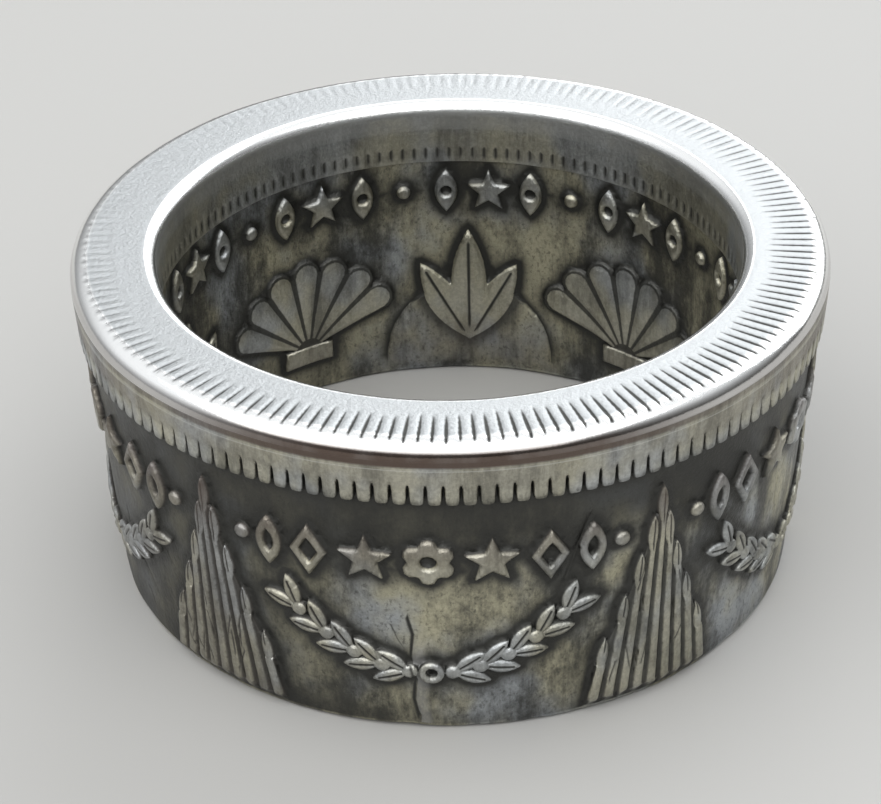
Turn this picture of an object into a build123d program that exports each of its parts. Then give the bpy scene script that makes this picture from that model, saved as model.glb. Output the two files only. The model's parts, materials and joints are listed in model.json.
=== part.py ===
from build123d import *
from build123d.topology import SkipClean
import os
from math import atan2, cos, degrees, hypot, radians, sin

# A ring folded from one large struck silver coin. The coin's milled edge is the flat top,
# its rim is the thick band under it, and its two struck faces are the walls.
# Millimetres. The ring stands on its thin foot edge, its axis is Z, and the front is -Y.

# The folded blank: bore for the finger, walls, and how far the foot flares inside
height = 12.4
bore_radius = 10.5
rim_wall = 3.15
foot_flare = 0.45
foot_wall = 1.5
outer_edge_round = 0.65
inner_edge_round = 0.45
foot_round = 0.22

# Rim band and sunk field of each wall
outer_band_height = 2.45
outer_band_taper = 0.18
outer_sink = 0.30
inner_band_height = 2.60
inner_sink = 0.25

# The pattern repeats round the ring in equal sectors
sector_count = 5
pattern_turn = -4.0

# Milled slits across the top face, pointed at both ends and widest near the outer edge
reeds_per_sector = 36
reed_depth = 0.12
reed_width = 0.20
reed_length = 1.60
reed_edge_gap = 0.50

# Denticles: the teeth are what is left between keyhole notches
denticles_per_sector = 29
notch_height = 0.85
notch_width = 0.13
notch_mouth_width = 0.34
notch_flare_height = 0.22
notch_depth = 0.22

# Pits in the inner band, seen from the bore as a row of small dents
inner_pit_height = 0.42
inner_pit_width = 0.20
inner_pit_rise = 0.25
inner_pit_depth = 0.12

# How far raised forms stand above their field, in two levels
outer_relief = 0.24
outer_low_relief = 0.12
inner_relief = 0.20
inner_low_relief = 0.11
relief_root = 0.15

# Outer wall: a row of ornaments under the rim; places are shares of the field's height
row_place = 0.749
# reach is an ornament's distance from the sector's middle, to each side
row_ornaments = [
    dict(kind="rosette", reach=0.0),
    dict(kind="star", reach=2.12),
    dict(kind="lozenge", reach=4.08),
    dict(kind="bud", reach=5.56),
    dict(kind="dot", reach=6.62),
]
rosette_radius = 0.95
rosette_petals = 6
rosette_petal_radius = 0.34
rosette_eye_radius = 0.26
star_radius = 1.02
star_waist = 0.45
lozenge_width = 1.35
lozenge_height = 2.15
lozenge_frame = 0.36
bud_height = 2.10
bud_width = 0.98
bud_slot_height = 0.90
bud_slot_width = 0.34
dot_radius = 0.30

# Outer wall: a laurel garland hung from a bead, with leaf pairs that point outwards
garland_pairs = 5
garland_mid_place = 0.262
garland_end_place = 0.505
garland_reach = 4.75
laurel_length = 1.45
laurel_width = 0.60
laurel_splay = 27.0
bead_radius = 0.48
bead_eye_radius = 0.18

# Outer wall: sheaves of long stalks with pointed ears, which lean together as they rise
sheaf_meeting_height = 16.0
sheaf_root_drop = 0.6
sheaf_ground_margin = 0.20
sheaf_ground_drop = 1.25
stalk_width = 0.46
ear_length = 1.75
ear_width = 0.44
# reach is a stalk's distance from the middle one at the foot, top is the height of its ear's tip
sheaf_stalks = [
    dict(reach=0.0, top=9.20),
    dict(reach=0.60, top=8.05),
    dict(reach=1.20, top=6.60),
    dict(reach=1.80, top=5.00),
    dict(reach=2.40, top=3.30),
]

# Inner wall: a row of ornaments, and under it scallop shells and broad leaves on low mounds
inner_row_count = 8
inner_row_place = 0.862
inner_star_radius = 0.98
inner_star_waist = 0.43
inner_leaf_height = 1.95
inner_leaf_width = 0.95
inner_eye_radius = 0.21
shell_place = 0.205
shell_ribs = 7
shell_rib_turn = 20.0
shell_rib_start = 0.60
shell_rib_length = 3.55
shell_rib_gap = 0.18
shell_ground_margin = 0.16
shell_foot_width = 2.2
shell_foot_height = 0.85
mound_place = 0.44
mound_half_width = 3.1
bloom_place = 0.15
# length and width are a leaf's own, turn is in degrees to each side
bloom_leaves = [
    dict(length=5.20, width=1.55, turn=0.0),
    dict(length=4.20, width=1.35, turn=28.0),
]

# Sizes that follow from those above
sector_angle = 360.0 / sector_count
rim_outer_radius = bore_radius + rim_wall
foot_inner_radius = bore_radius + foot_flare
foot_outer_radius = foot_inner_radius + foot_wall
ledge_height = height - outer_band_height
inner_ledge_height = height - inner_band_height
band_low_radius = rim_outer_radius - outer_band_taper
field_top_radius = band_low_radius - outer_sink
inner_field_top_radius = bore_radius + inner_sink
# How far cutters and blocks reach past what they cut or are cut by
over = 0.4
layer_reach = rim_wall


def outer_field_radius(z):
    share = z / ledge_height
    return foot_outer_radius + (field_top_radius - foot_outer_radius) * share


def inner_field_radius(z):
    share = z / inner_ledge_height
    return foot_inner_radius + (inner_field_top_radius - foot_inner_radius) * share


def revolved(face):
    """A face drawn in the XZ plane, turned about the ring's axis through the front sector."""
    start = Rot(0, 0, -90 - sector_angle / 2)
    return revolve(start * face, Axis.Z, sector_angle)


def polygon(points):
    return make_face(Polyline(*points, close=True))


def blank_sector():
    """One sector of the smooth folded blank, with its rounded edges."""
    corners = [
        (foot_inner_radius, 0),
        (foot_outer_radius, 0),
        (field_top_radius, ledge_height),
        (band_low_radius, ledge_height),
        (rim_outer_radius, height),
        (bore_radius, height),
        (bore_radius, inner_ledge_height),
        (inner_field_top_radius, inner_ledge_height),
    ]
    face = polygon(corners)
    rounds = {0: foot_round, 1: foot_round, 4: outer_edge_round, 5: inner_edge_round}
    for index, radius in rounds.items():
        vertex = face.vertices().sort_by_distance(Vector(*corners[index]))[0]
        face = fillet(vertex, radius)
    return revolved(Plane.XZ * face)


def relief_layer(field_radius, top, rise):
    """The thin layer of a wall that raised forms of one level fill, from the foot to top."""
    low = foot_round
    root = relief_root if rise > 0 else -relief_root
    section = [
        (field_radius(low) - root, low),
        (field_radius(low) + rise, low),
        (field_radius(top) + rise, top),
        (field_radius(top) - root, top),
    ]
    return revolved(Plane.XZ * polygon(section))


def outer_plane(azimuth, z):
    """A drawing plane on the outer wall: x runs to the right, y up the wall, z outwards."""
    lean = atan2(field_top_radius - foot_outer_radius, ledge_height)
    a = radians(azimuth)
    out = Vector(sin(a), -cos(a), 0)
    right = Vector(cos(a), sin(a), 0)
    place = out * outer_field_radius(z) + Vector(0, 0, z)
    return Plane(origin=place, x_dir=right, z_dir=out * cos(lean) - Vector(0, 0, sin(lean)))


def inner_plane(azimuth, z):
    """A drawing plane on the inner wall, seen from the axis: x to the right, y up, z inwards."""
    a = radians(azimuth)
    into = Vector(-sin(a), cos(a), 0)
    right = Vector(-cos(a), -sin(a), 0)
    place = into * -inner_field_radius(z) + Vector(0, 0, z)
    return Plane(origin=place, x_dir=right, z_dir=into)


def raised(plane, sketch, rise):
    """A small form with a flat top, rooted in the wall."""
    return extrude(plane.offset(-relief_root) * sketch, amount=relief_root + rise)


def laid_on(layer, drawings):
    """Wide forms that follow the wall: drawings are planes with the faces drawn on them."""
    blocks = [extrude(plane * face, amount=layer_reach, both=True) for plane, face in drawings]
    form = (Part() + blocks) & layer
    return form.solids()


def star(radius, waist):
    points = []
    for k in range(10):
        a = radians(90 + 36 * k)
        r = waist if k % 2 else radius
        points.append((r * cos(a), r * sin(a)))
    return polygon(points)


def leaf(length, width):
    """A pointed leaf standing on the origin."""
    half = width / 2
    left = ThreePointArc((0, 0), (-half, length / 2), (0, length))
    right = ThreePointArc((0, length), (half, length / 2), (0, 0))
    return make_face(left + right)


def diamond(width, tall):
    return polygon([(0, -tall / 2), (width / 2, 0), (0, tall / 2), (-width / 2, 0)])


def open_lozenge():
    slope = hypot(lozenge_width, lozenge_height)
    hole_width = lozenge_width - lozenge_frame * slope / lozenge_height
    hole_height = lozenge_height - lozenge_frame * slope / lozenge_width
    return diamond(lozenge_width, lozenge_height) - diamond(hole_width, hole_height)


def rosette():
    reach = rosette_radius - rosette_petal_radius
    petals = []
    for k in range(rosette_petals):
        a = radians(90 + 360 / rosette_petals * k)
        petals.append(Pos(reach * cos(a), reach * sin(a)) * Circle(rosette_petal_radius))
    return Circle(reach) + petals - Circle(rosette_eye_radius)


def bud():
    """An upright pointed leaf with a slot through its middle."""
    slot = Pos(0, -bud_slot_height / 2) * leaf(bud_slot_height, bud_slot_width)
    return Pos(0, -bud_height / 2) * leaf(bud_height, bud_width) - slot


def both_sides(reach):
    return (-1, 1) if reach else (1,)


def outer_row():
    forms = dict(
        rosette=rosette(),
        star=star(star_radius, star_waist),
        lozenge=open_lozenge(),
        bud=bud(),
        dot=Circle(dot_radius),
    )
    z = row_place * ledge_height
    blocks = []
    for ornament in row_ornaments:
        azimuth = degrees(ornament["reach"] / outer_field_radius(z))
        for side in both_sides(azimuth):
            plane = outer_plane(side * azimuth, z)
            blocks.append(raised(plane, forms[ornament["kind"]], outer_relief))
    return blocks


def garland():
    """Leaf pairs along a hanging curve, and a pierced bead at its lowest point."""
    low = garland_mid_place * ledge_height
    sag = garland_end_place * ledge_height - low
    one_leaf = leaf(laurel_length, laurel_width)
    splayed = [Rot(0, 0, side * laurel_splay) * one_leaf for side in (-1, 1)]
    pair = Circle(laurel_width / 2) + splayed
    bead = Circle(bead_radius) - Circle(bead_eye_radius)
    blocks = [raised(outer_plane(0, low), bead, outer_relief)]
    for k in range(garland_pairs):
        share = (k + 0.75) / garland_pairs
        z = low + sag * share**2
        azimuth = degrees(share * garland_reach / outer_field_radius(z))
        slope = degrees(atan2(2 * share * sag, garland_reach))
        for side in (-1, 1):
            turned_pair = Rot(0, 0, side * (slope - 90)) * pair
            blocks.append(raised(outer_plane(side * azimuth, z), turned_pair, outer_relief))
    return blocks


def edge_azimuths():
    return (-sector_angle / 2, sector_angle / 2)


def sheaf_stalk(reach, top):
    """One leaning stalk, narrower as it rises, with a pointed ear on it."""
    ear_start = top - ear_length
    end_width = stalk_width * (1 - ear_start / sheaf_meeting_height)
    stalk_end = ear_start + ear_length / 3
    stalk = polygon([
        (-stalk_width / 2, -sheaf_root_drop),
        (stalk_width / 2, -sheaf_root_drop),
        (end_width / 2, stalk_end),
        (-end_width / 2, stalk_end),
    ])
    lean = degrees(atan2(reach, sheaf_meeting_height))
    return Pos(reach, 0) * Rot(0, 0, lean) * (stalk + Pos(0, ear_start) * leaf(ear_length, ear_width))


def sheaf_ground():
    """The outline of the stalks' low ground, which the ears reach past."""
    half = []
    for stalk in sheaf_stalks:
        top = stalk["top"] - sheaf_ground_drop
        reach = stalk["reach"] * (1 - top / sheaf_meeting_height)
        half.append((reach + sheaf_ground_margin, top))
    outer_reach = sheaf_stalks[-1]["reach"] + stalk_width / 2 + sheaf_ground_margin
    base = [(-outer_reach, -sheaf_root_drop), (outer_reach, -sheaf_root_drop)]
    return polygon(base + half[::-1] + [(-x, y) for x, y in half])


def sheaves(layer):
    drawings = []
    for azimuth in edge_azimuths():
        for row in sheaf_stalks:
            for side in both_sides(row["reach"]):
                stalk = sheaf_stalk(side * row["reach"], row["top"])
                drawings.append((outer_plane(azimuth, 0), stalk))
    return laid_on(layer, drawings)


def sheaf_grounds(layer):
    return laid_on(layer, [(outer_plane(azimuth, 0), sheaf_ground()) for azimuth in edge_azimuths()])


def inner_row():
    """Stars, pierced upright leaves and dots, seen from inside the ring."""
    pierced = Pos(0, -inner_leaf_height / 2) * leaf(inner_leaf_height, inner_leaf_width)
    pierced -= Circle(inner_eye_radius)
    forms = [star(inner_star_radius, inner_star_waist), pierced, Circle(dot_radius), pierced]
    z = inner_row_place * inner_ledge_height
    blocks = []
    for k in range(inner_row_count):
        azimuth = ((k + 0.5) / inner_row_count - 0.5) * sector_angle
        blocks.append(raised(inner_plane(azimuth, z), forms[k % len(forms)], inner_relief))
    return blocks


def shell_rib_half_width():
    return shell_rib_length * sin(radians(shell_rib_turn / 2)) - shell_rib_gap / 2


def shell_rib_turns():
    return [(k - (shell_ribs - 1) / 2) * shell_rib_turn for k in range(shell_ribs)]


def shell_lines():
    """A scallop shell's ribs, fanned up from a small foot, each with a round end."""
    half = shell_rib_half_width()
    start = half * shell_rib_start / shell_rib_length
    rib = polygon([
        (-start, shell_rib_start),
        (start, shell_rib_start),
        (half, shell_rib_length),
        (-half, shell_rib_length),
    ])
    rib += Pos(0, shell_rib_length) * Circle(half)
    foot = Pos(0, shell_rib_start / 2 - shell_foot_height / 2)
    foot *= Rectangle(shell_foot_width, shell_foot_height)
    return foot + [Rot(0, 0, turn) * rib for turn in shell_rib_turns()]


def shell_ground():
    """The fan under the ribs, scalloped like them."""
    end = Pos(0, shell_rib_length) * Circle(shell_rib_half_width() + shell_ground_margin)
    ends = [Rot(0, 0, turn) * end for turn in shell_rib_turns()]
    edge = [(0, 0)]
    for turn in shell_rib_turns():
        a = radians(turn)
        edge.append((-shell_rib_length * sin(a), shell_rib_length * cos(a)))
    return polygon(edge) + ends


def mound():
    """A broad low swell that fills the foot between two shells."""
    top = mound_place * inner_ledge_height
    half = mound_half_width
    arc = ThreePointArc((half, -over), (0, top), (-half, -over))
    return make_face(arc + Line((-half, -over), (half, -over)))


def inner_high_forms(layer):
    """Shell ribs in the middle of the sector, and broad leaves at its edges."""
    drawings = [(inner_plane(0, shell_place * inner_ledge_height), shell_lines())]
    for azimuth in edge_azimuths():
        plane = inner_plane(azimuth, bloom_place * inner_ledge_height)
        for row in bloom_leaves:
            outline = leaf(row["length"], row["width"])
            for side in both_sides(row["turn"]):
                drawings.append((plane, Rot(0, 0, side * row["turn"]) * outline))
    return laid_on(layer, drawings)


def inner_low_forms(layer):
    drawings = [(inner_plane(0, shell_place * inner_ledge_height), shell_ground())]
    for azimuth in edge_azimuths():
        drawings.append((inner_plane(azimuth, 0), mound()))
    return laid_on(layer, drawings)


def round_the_sector(count, shape):
    step = sector_angle / count
    return [Rot(0, 0, (k + 0.5) * step - sector_angle / 2) * shape for k in range(count)]


def reed_cutter():
    """A slit that stays clear of both rounded edges."""
    half = reed_width / 2
    outline = [
        (0, 0),
        (half * 0.9, reed_length * 0.2),
        (half, reed_length * 0.4),
        (0, reed_length),
        (-half, reed_length * 0.4),
        (-half * 0.9, reed_length * 0.2),
    ]
    floor = Vector(0, reed_edge_gap - rim_outer_radius, height - reed_depth)
    plane = Plane(origin=floor, x_dir=Vector(1, 0, 0), z_dir=Vector(0, 0, 1))
    return extrude(plane * polygon(outline), amount=reed_depth + over)


def notch_cutter():
    """A keyhole notch, narrow above and open at the ledge below."""
    slot = notch_width / 2
    mouth = notch_mouth_width / 2
    outline = [
        (-mouth, -slot),
        (mouth, -slot),
        (slot, notch_flare_height),
        (slot, notch_height - slot),
        (0, notch_height),
        (-slot, notch_height - slot),
        (-slot, notch_flare_height),
    ]
    floor = Vector(0, notch_depth - band_low_radius, ledge_height)
    plane = Plane(origin=floor, x_dir=Vector(1, 0, 0), z_dir=Vector(0, -1, 0))
    return extrude(plane * polygon(outline), amount=notch_depth + over)


def inner_pit_cutter():
    z = inner_ledge_height + inner_pit_rise + inner_pit_height / 2
    floor = Vector(0, -bore_radius - inner_pit_depth, z)
    plane = Plane(origin=floor, x_dir=Vector(-1, 0, 0), z_dir=Vector(0, 1, 0))
    pit = Rectangle(inner_pit_width, inner_pit_height)
    return extrude(plane * pit, amount=inner_pit_depth + over)


def ring_sector():
    outer_top = ledge_height - outer_sink
    outer_layer = relief_layer(outer_field_radius, outer_top, outer_relief)
    outer_low_layer = relief_layer(outer_field_radius, outer_top, outer_low_relief)
    inner_layer = relief_layer(inner_field_radius, inner_ledge_height, -inner_relief)
    inner_low_layer = relief_layer(inner_field_radius, inner_ledge_height, -inner_low_relief)
    forms = outer_row() + garland() + inner_row()
    forms += sheaves(outer_layer)
    forms += sheaf_grounds(outer_low_layer)
    forms += inner_high_forms(inner_layer)
    forms += inner_low_forms(inner_low_layer)
    cutters = round_the_sector(reeds_per_sector, reed_cutter())
    cutters += round_the_sector(denticles_per_sector, notch_cutter())
    cutters += round_the_sector(denticles_per_sector, inner_pit_cutter())
    return blank_sector().fuse(*forms).cut(*cutters)


def coin_ring():
    """The sectors joined in one closed ring, whose faces stay split where sectors meet."""
    sector = ring_sector()
    turned = [Rot(0, 0, pattern_turn + k * sector_angle) * sector for k in range(sector_count)]
    with SkipClean():
        return turned[0].fuse(*turned[1:])


if __name__ == "__main__":
    os.makedirs("parts", exist_ok=True)
    export_step(coin_ring(), "parts/coin_ring.step")
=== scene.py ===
import json
from math import atan2, cos, degrees, exp, hypot, pi, radians, sin, tan

import bpy
import numpy as np
from mathutils import Matrix, Vector, noise
from mathutils.geometry import delaunay_2d_cdt

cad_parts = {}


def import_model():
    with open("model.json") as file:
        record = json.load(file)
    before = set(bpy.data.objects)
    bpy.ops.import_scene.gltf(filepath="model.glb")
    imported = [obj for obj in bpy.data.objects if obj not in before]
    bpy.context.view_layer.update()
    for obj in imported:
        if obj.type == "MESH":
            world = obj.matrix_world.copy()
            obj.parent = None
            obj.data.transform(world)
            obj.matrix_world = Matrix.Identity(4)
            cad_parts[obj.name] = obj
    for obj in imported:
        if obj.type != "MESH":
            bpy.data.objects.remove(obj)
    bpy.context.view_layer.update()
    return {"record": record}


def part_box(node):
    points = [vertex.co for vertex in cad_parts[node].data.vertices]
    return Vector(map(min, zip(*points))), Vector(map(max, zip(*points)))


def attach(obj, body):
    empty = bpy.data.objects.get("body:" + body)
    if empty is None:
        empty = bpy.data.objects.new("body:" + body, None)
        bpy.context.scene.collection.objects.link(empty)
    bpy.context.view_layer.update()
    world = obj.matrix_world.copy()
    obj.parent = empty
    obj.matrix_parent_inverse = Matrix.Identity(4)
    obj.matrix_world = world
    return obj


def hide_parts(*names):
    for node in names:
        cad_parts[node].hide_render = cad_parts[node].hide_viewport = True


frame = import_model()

# A ring folded from one large silver coin, dressed over the solid named below.
# The script works in millimetres and degrees. Azimuth 0 is the front, -Y, and grows to the right.
NODE = "coin_ring"
MM = 0.001
mounts = {mount["name"]: mount for mount in frame["record"]["mounts"]}

# Sizes of the folded blank, from the frame and the finger bore
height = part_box(NODE)[1].z / MM
bore_radius = mounts["finger_bore"]["dims"]["r_mm"]
rim_wall = 3.15
outer_edge_round = 0.65
inner_edge_round = 0.45
foot_round = 0.22
foot_flare = 0.45
foot_wall = 1.5
outer_band_height = 2.45
outer_band_taper = 0.18
outer_sink = 0.30
inner_band_height = 2.60
inner_sink = 0.25
rim_outer_radius = bore_radius + rim_wall
foot_inner_radius = bore_radius + foot_flare
foot_outer_radius = foot_inner_radius + foot_wall
ledge_height = height - outer_band_height
inner_ledge_height = height - inner_band_height
band_low_radius = rim_outer_radius - outer_band_taper
field_top_radius = band_low_radius - outer_sink
inner_field_top_radius = bore_radius + inner_sink

# Pattern: equal sectors round the ring, whose borders hold the same points on both sides
sector_count = 5
sector_angle = 360 / sector_count
pattern_turn = -4.0
columns = 120
reeds_per_sector = 36
denticles_per_sector = 29
outer_relief = 0.24
outer_low_relief = 0.13
inner_relief = 0.20
inner_low_relief = 0.11

# Radii at which the two walls and the top face are drawn flat
outer_draw_radius = 12.8
inner_draw_radius = 10.85
top_draw_radius = 12.2

# What each point of the mesh tells the material. The fifth mark holds painted shade and a painted dark
# reflection.
mark_names = ["raised", "away", "grooved", "polish", "tarnish", "land"]


# Outlines: closed loops of points, anticlockwise, in millimetres

def polar(radius, a):
    return np.stack([radius * np.cos(a), radius * np.sin(a)], 1)


def circle(radius, count):
    return polar(radius, np.linspace(0, 2 * pi, count, endpoint=False))


def leaf(length, width, steps=14):
    """A pointed leaf standing on the origin."""
    t = np.linspace(0, 1, steps + 1)
    half = width / 2 * (1 - (2 * t - 1) ** 2)
    right = np.stack([half, t * length], 1)
    left = np.stack([-half, t * length], 1)[::-1]
    return np.concatenate([right, left[1:-1]])


def star(radius, waist):
    corners = np.arange(10)
    return polar(np.where(corners % 2, waist, radius), np.radians(90 + 36 * corners))


def diamond(width, tall):
    return np.array([(0, -tall / 2), (width / 2, 0), (0, tall / 2), (-width / 2, 0)])


def box_outline(width, tall):
    return np.array([(-width, -tall), (width, -tall), (width, tall), (-width, tall)]) / 2


def flower(radius, petals, petal_radius, steps=7):
    """A round flower edge of overlapping circles."""
    reach = radius - petal_radius
    half = pi / petals
    overlap = 0.12
    meeting_sine = min(0.999, reach * sin(half) / petal_radius)
    open_angle = pi - np.arcsin(meeting_sine) + overlap
    points = []
    for k in range(petals):
        turn = radians(90) + 2 * half * k
        for a in np.linspace(-open_angle, open_angle, steps):
            x = reach * cos(turn) + petal_radius * cos(turn + a)
            y = reach * sin(turn) + petal_radius * sin(turn + a)
            if abs((atan2(y, x) - turn + pi) % (2 * pi) - pi) <= half:
                points.append((x, y))
    return np.array(points)


def turned(outline, angle):
    c, s = cos(radians(angle)), sin(radians(angle))
    return outline @ np.array([[c, s], [-s, c]])


def refined(outline, spacing):
    """The same loop with its long edges cut into shorter ones."""
    points = []
    for a, b in zip(outline, np.roll(outline, -1, 0)):
        count = max(1, int(round(hypot(*(b - a)) / spacing)))
        points.extend(a + (b - a) * k / count for k in range(count))
    return np.array(points)


def inset(outline, distance, shortest_sum=0.9):
    """The loop moved inwards, with its sharp corners kept from running away."""
    ahead = np.roll(outline, -1, 0) - outline
    ahead /= np.linalg.norm(ahead, axis=1)[:, None]
    behind = np.roll(ahead, 1, 0)
    inward = np.stack([-(ahead + behind)[:, 1], (ahead + behind)[:, 0]], 1)
    length = np.linalg.norm(inward, axis=1)
    left_turn = behind[:, 0] * ahead[:, 1] - behind[:, 1] * ahead[:, 0] > 0
    miter = np.where(left_turn, 2 / np.maximum(length, shortest_sum), 1)
    return outline + inward / np.maximum(length, 1e-6)[:, None] * miter[:, None] * distance


def nearest(a, b, p):
    """How far each point lies from the nearest of the lines that run from a to b."""
    along = ((p - a) * (b - a)).sum(2) / np.maximum(((b - a) ** 2).sum(2), 1e-12)
    near = a + np.clip(along, 0, 1)[..., None] * (b - a)
    return np.sqrt(((p - near) ** 2).sum(2)).min(1)


def distance_to_line(line, points):
    return nearest(line[:-1][None], line[1:][None], points[:, None])


def depth_in(outline, points):
    """How far points lie inside a loop; outside it the number is negative."""
    a = outline[None]
    b = np.roll(outline, -1, 0)[None]
    p = points[:, None]
    distance = nearest(a, b, p)
    crossing = (a[..., 1] > p[..., 1]) != (b[..., 1] > p[..., 1])
    rise = np.where(crossing, b[..., 1] - a[..., 1], 1)
    x_cross = a[..., 0] + (p[..., 1] - a[..., 1]) * (b[..., 0] - a[..., 0]) / rise
    inside = (crossing & (p[..., 0] < x_cross)).sum(1) % 2 == 1
    return np.where(inside, distance, -distance)


def in_reach(line, reach, points):
    """The numbers of the points inside a line's own box, widened by reach."""
    low = line.min(0) - reach
    high = line.max(0) + reach
    return np.flatnonzero(((points > low) & (points < high)).all(1))


# Raised forms: a loop, its holes, how high it stands and how wide its rounded edge is

def form(outline, rise, edge, place=(0, 0), turn=0, holes=(), spacing=0.14, dome=0.0):
    loops = [refined(turned(loop, turn) + place, spacing) for loop in [outline, *holes]]
    return dict(outline=loops[0], holes=loops[1:], rise=rise, edge=edge, dome=dome)


def form_depth(shape, points):
    depth = depth_in(shape["outline"], points)
    for hole in shape["holes"]:
        depth = np.minimum(depth, -depth_in(hole, points))
    return depth


def form_height(shape, depth):
    """A rounded edge, then a top that still climbs by dome towards the middle."""
    t = np.clip(depth / shape["edge"], 0, 1)
    climb = 1 - np.exp(-np.clip(depth, 0, None) / (2 * shape["edge"]))
    flat = (shape["rise"] - shape["dome"]) * np.sqrt(1 - (1 - t) ** 2)
    return flat + shape["dome"] * climb


def groove(line, depth, width, dark=1.0):
    """A cut along a line; dark is how far its bottom is oxidised."""
    line = np.array(line, float)
    along = np.gradient(line, axis=0)
    along /= np.linalg.norm(along, axis=1)[:, None]
    across = np.stack([-along[:, 1], along[:, 0]], 1)
    shoulder = 1.5 * width
    sides = [line + side * shoulder * across for side in (-1, 1)]
    return dict(line=line, sides=sides, depth=depth, width=width, dark=dark)


class Relief:
    """Forms and grooves drawn on one wall, with the points that their edges need."""

    halo_reach = 1.0
    low_form_gap = 0.16
    low_form_share = 0.7
    edge_blend = 0.05
    edge_slack = 0.01
    edge_shares = (0.0, 0.35, 1.0)
    edge_tolerance = 0.02
    groove_reach = 3

    def __init__(self, forms, grooves, half_width, low, high, full_rise=1.0):
        self.forms = forms
        self.grooves = grooves
        self.half_width = half_width
        self.low = low
        self.high = high
        self.full_rise = full_rise

    def sample(self, points):
        """Height, how raised a point is, how far from the nearest form, and how deep in a groove."""
        height_here = np.zeros(len(points))
        raised = np.zeros(len(points))
        away = np.full(len(points), self.halo_reach)
        grooved = np.zeros(len(points))
        for shape in self.forms:
            near = in_reach(shape["outline"], self.halo_reach, points)
            if not len(near):
                continue
            depth = form_depth(shape, points[near])
            height_here[near] = np.maximum(height_here[near], form_height(shape, depth))
            share = min(1, shape["rise"] / self.full_rise)
            raised[near] = np.maximum(raised[near], np.clip(depth / self.edge_blend, 0, 1) * share)
            gap = self.low_form_gap * (share < self.low_form_share)
            outside = np.where(depth <= self.edge_slack, np.clip(-depth, 0, None) + gap, np.inf)
            away[near] = np.minimum(away[near], outside)
        for cut in self.grooves:
            near = in_reach(cut["line"], self.groove_reach * cut["width"], points)
            if not len(near):
                continue
            close = np.exp(-((distance_to_line(cut["line"], points[near]) / cut["width"]) ** 2))
            height_here[near] -= cut["depth"] * close
            grooved[near] = np.maximum(grooved[near], cut["dark"] * close)
        return height_here, raised, away, grooved

    def chains(self):
        """Runs of points along the edges of forms and along grooves."""
        found = []
        for shape in self.forms:
            for loop in [shape["outline"], *shape["holes"]]:
                for share in self.edge_shares:
                    level = share * shape["edge"]
                    ring = inset(loop, level) if share else loop
                    good = np.abs(form_depth(shape, ring) - level) < self.edge_tolerance
                    found.append((ring, good, True))
        for cut in self.grooves:
            for line in (cut["line"], *cut["sides"]):
                found.append((line, np.ones(len(line), bool), False))
        return found


# How close points may come to a wall's sides and ends, to marks on its sides and to other points
side_gap = 0.02
end_gap = 0.05
mark_gap = 0.06
point_gap = 0.055
same_point = 1e-4


def chain_points(relief):
    """Points and links along edges and grooves inside one sector, and where these leave it."""
    half = relief.half_width
    points, links, crossings = [], [], []
    for ring, good, closed in relief.chains():
        inside = good & (np.abs(ring[:, 0]) < half - side_gap)
        inside &= (ring[:, 1] > relief.low + end_gap) & (ring[:, 1] < relief.high - end_gap)
        numbers = {}
        for k in np.flatnonzero(inside):
            numbers[k] = len(points)
            points.append(tuple(ring[k]))
        count = len(ring)
        for k in range(count if closed else count - 1):
            a, b = k, (k + 1) % count
            if a in numbers and b in numbers:
                links.append((numbers[a], numbers[b]))
                continue
            for here, there in ((a, b), (b, a)):
                if here in numbers and good[there] and abs(ring[there, 0]) >= half - side_gap:
                    span = abs(ring[there, 0]) - abs(ring[here, 0])
                    share = min(1, (half - abs(ring[here, 0])) / max(span, 1e-6))
                    y = ring[here, 1] + share * (ring[there, 1] - ring[here, 1])
                    crossings.append((numbers[here], np.sign(ring[here, 0]), y))
    return points, links, crossings


def triangulate(relief, backdrop, side_marks):
    """Points and triangles of one wall of one sector, whose borders meet their neighbours'."""
    half = relief.half_width
    points, links, crossings = chain_points(relief)
    marks = list(side_marks)
    for _, _, y in crossings:
        clear_of_ends = relief.low + end_gap < y < relief.high - end_gap
        if clear_of_ends and min(abs(y - m) for m in marks) > mark_gap:
            marks.append(y)
    marks = sorted(marks)
    border = {}
    for side in (-1, 1):
        for m in marks:
            border[(side, m)] = len(points)
            points.append((side * half, m))
        for m, n in zip(marks, marks[1:]):
            links.append((border[(side, m)], border[(side, n)]))
    for number, side, y in crossings:
        mark = min(marks, key=lambda m: abs(m - y))
        links.append((number, border[(side, mark)]))
    for y in (relief.low, relief.high):
        row = [border[(-1, y)]]
        for x in column_places(half):
            row.append(len(points))
            points.append((x, y))
        row.append(border[(1, y)])
        links += list(zip(row, row[1:]))
    points = np.array(points)
    clear = np.ones(len(backdrop), bool)
    block_size = 400
    for start in range(0, len(backdrop), block_size):
        block = backdrop[start:start + block_size, None] - points[None]
        clear[start:start + block_size] = (block**2).sum(2).min(1) > point_gap**2
    points = np.concatenate([points, backdrop[clear]])
    flat = [Vector(p) for p in points]
    fill_hull = 0
    verts, _, faces, _, _, _ = delaunay_2d_cdt(flat, links, [], fill_hull, same_point)
    return np.array([tuple(v) for v in verts]), np.array([f for f in faces if len(f) == 3])


def hex_grid(half, low, high, spacing, seed):
    """Loose background points, a little shaken so that no rows show."""
    shake = np.random.default_rng(seed)
    rows = []
    hex_row = 0.866
    step = spacing * hex_row
    for k, y in enumerate(np.arange(low + step, high - step / 2, step)):
        x = np.arange(-half + spacing * (0.5 + 0.5 * (k % 2)), half - spacing * 0.3, spacing)
        rows.append(np.stack([x, np.full(len(x), y)], 1))
    points = np.concatenate(rows)
    return points + shake.uniform(-0.2, 0.2, points.shape) * spacing


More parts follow.
